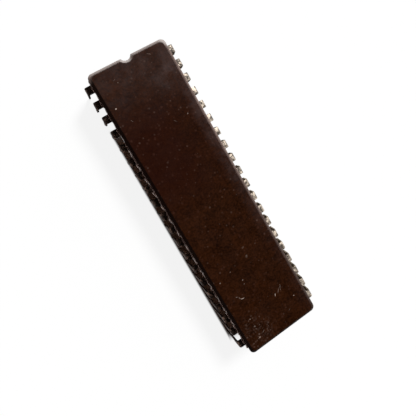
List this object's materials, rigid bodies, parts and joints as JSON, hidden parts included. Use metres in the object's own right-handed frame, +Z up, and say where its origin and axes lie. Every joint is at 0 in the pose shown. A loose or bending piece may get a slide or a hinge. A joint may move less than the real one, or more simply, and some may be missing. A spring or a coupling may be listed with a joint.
{
  "type": "dip integrated circuit chip",
  "caption": "Ceramic dual in-line integrated circuit package: brown pressed lid and base sealed with glass round two long rows of bent tin-coated leads, with an index notch at one end.",
  "frame": {"origin": "middle of the plane on which the pin tips stand, halfway between the rows and halfway along them", "axes": "+Z up out of the lid's flat top, +Y along the rows to the end with the notch, +X across the rows; pin 1 is beside the notch on the -X side"},
  "size_m": [0.0164, 0.0518, 0.009],
  "materials": {
    "ceramic": "matt dark brown pressed ceramic",
    "seal_glass": "dull grey-brown solder glass",
    "lead": "dull tarnished tin over nickel-iron strip",
    "bond_wire": "bright fine wire",
    "die": "polished silicon",
    "die_attach": "dull metal-filled paste"
  },
  "bodies": {
    "root": {"ceramic_base": "ceramic", "ceramic_lid": "ceramic", "seal_glass": "seal_glass", "die_attach": "die_attach", "silicon_die": "die", "bond_wires": "bond_wire", "lead_01": "lead", "lead_02": "lead", "lead_03": "lead", "lead_04": "lead", "lead_05": "lead", "lead_06": "lead", "lead_07": "lead", "lead_08": "lead", "lead_09": "lead", "lead_10": "lead", "lead_11": "lead", "lead_12": "lead", "lead_13": "lead", "lead_14": "lead", "lead_15": "lead", "lead_16": "lead", "lead_17": "lead", "lead_18": "lead", "lead_19": "lead", "lead_20": "lead", "lead_21": "lead", "lead_22": "lead", "lead_23": "lead", "lead_24": "lead", "lead_25": "lead", "lead_26": "lead", "lead_27": "lead", "lead_28": "lead", "lead_29": "lead", "lead_30": "lead", "lead_31": "lead", "lead_32": "lead", "lead_33": "lead", "lead_34": "lead", "lead_35": "lead", "lead_36": "lead", "lead_37": "lead", "lead_38": "lead", "lead_39": "lead", "lead_40": "lead"}
  },
  "joints": []
}
